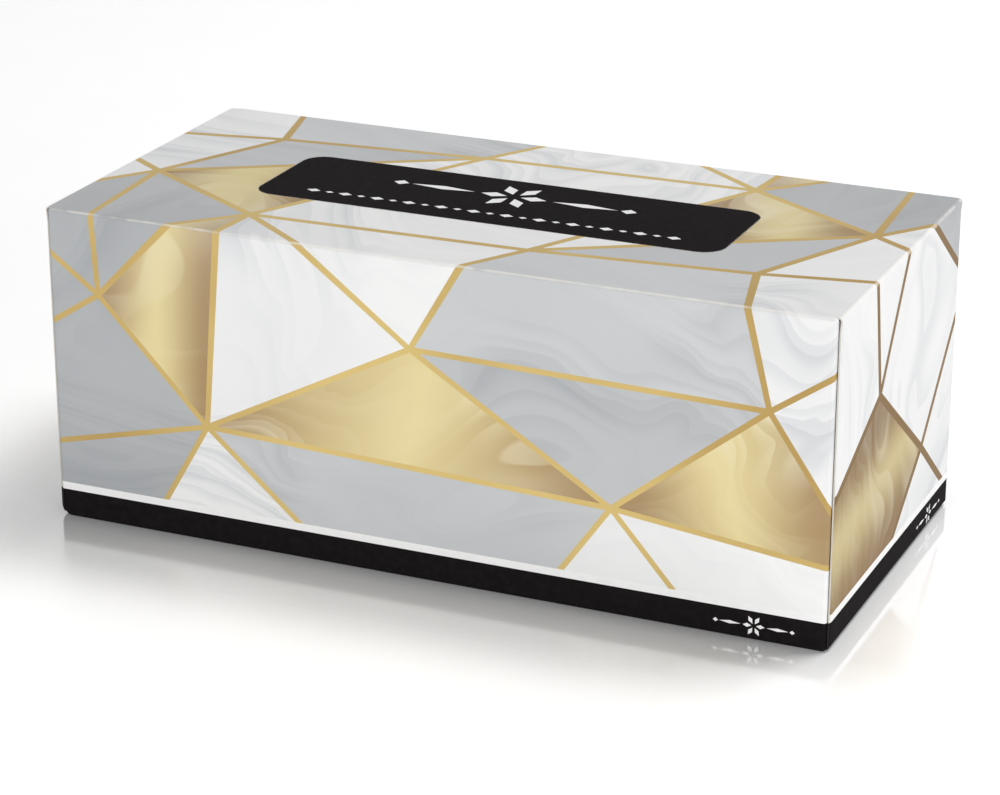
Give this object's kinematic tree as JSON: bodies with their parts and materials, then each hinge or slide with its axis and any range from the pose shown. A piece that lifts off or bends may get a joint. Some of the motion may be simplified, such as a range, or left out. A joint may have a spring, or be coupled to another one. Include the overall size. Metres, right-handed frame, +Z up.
{
  "type": "tissue box",
  "caption": "Flat carton of facial tissues, closed and unopened, in printed folding board with glued ends and a rounded tear-out panel in its top.",
  "frame": {"origin": "centre of the underside, on the surface that the box stands on", "axes": "+X along the length, towards the end seen at the right in the picture; +Y from the front panel to the back panel; +Z up"},
  "size_m": [0.23, 0.11, 0.092],
  "materials": {
    "printed_board": "varnished print: white and grey marbled facets, gold facets and gold lines, a black band round the foot and a black tear-out panel"
  },
  "bodies": {
    "root": {"tissue_box": "printed_board"}
  },
  "joints": []
}
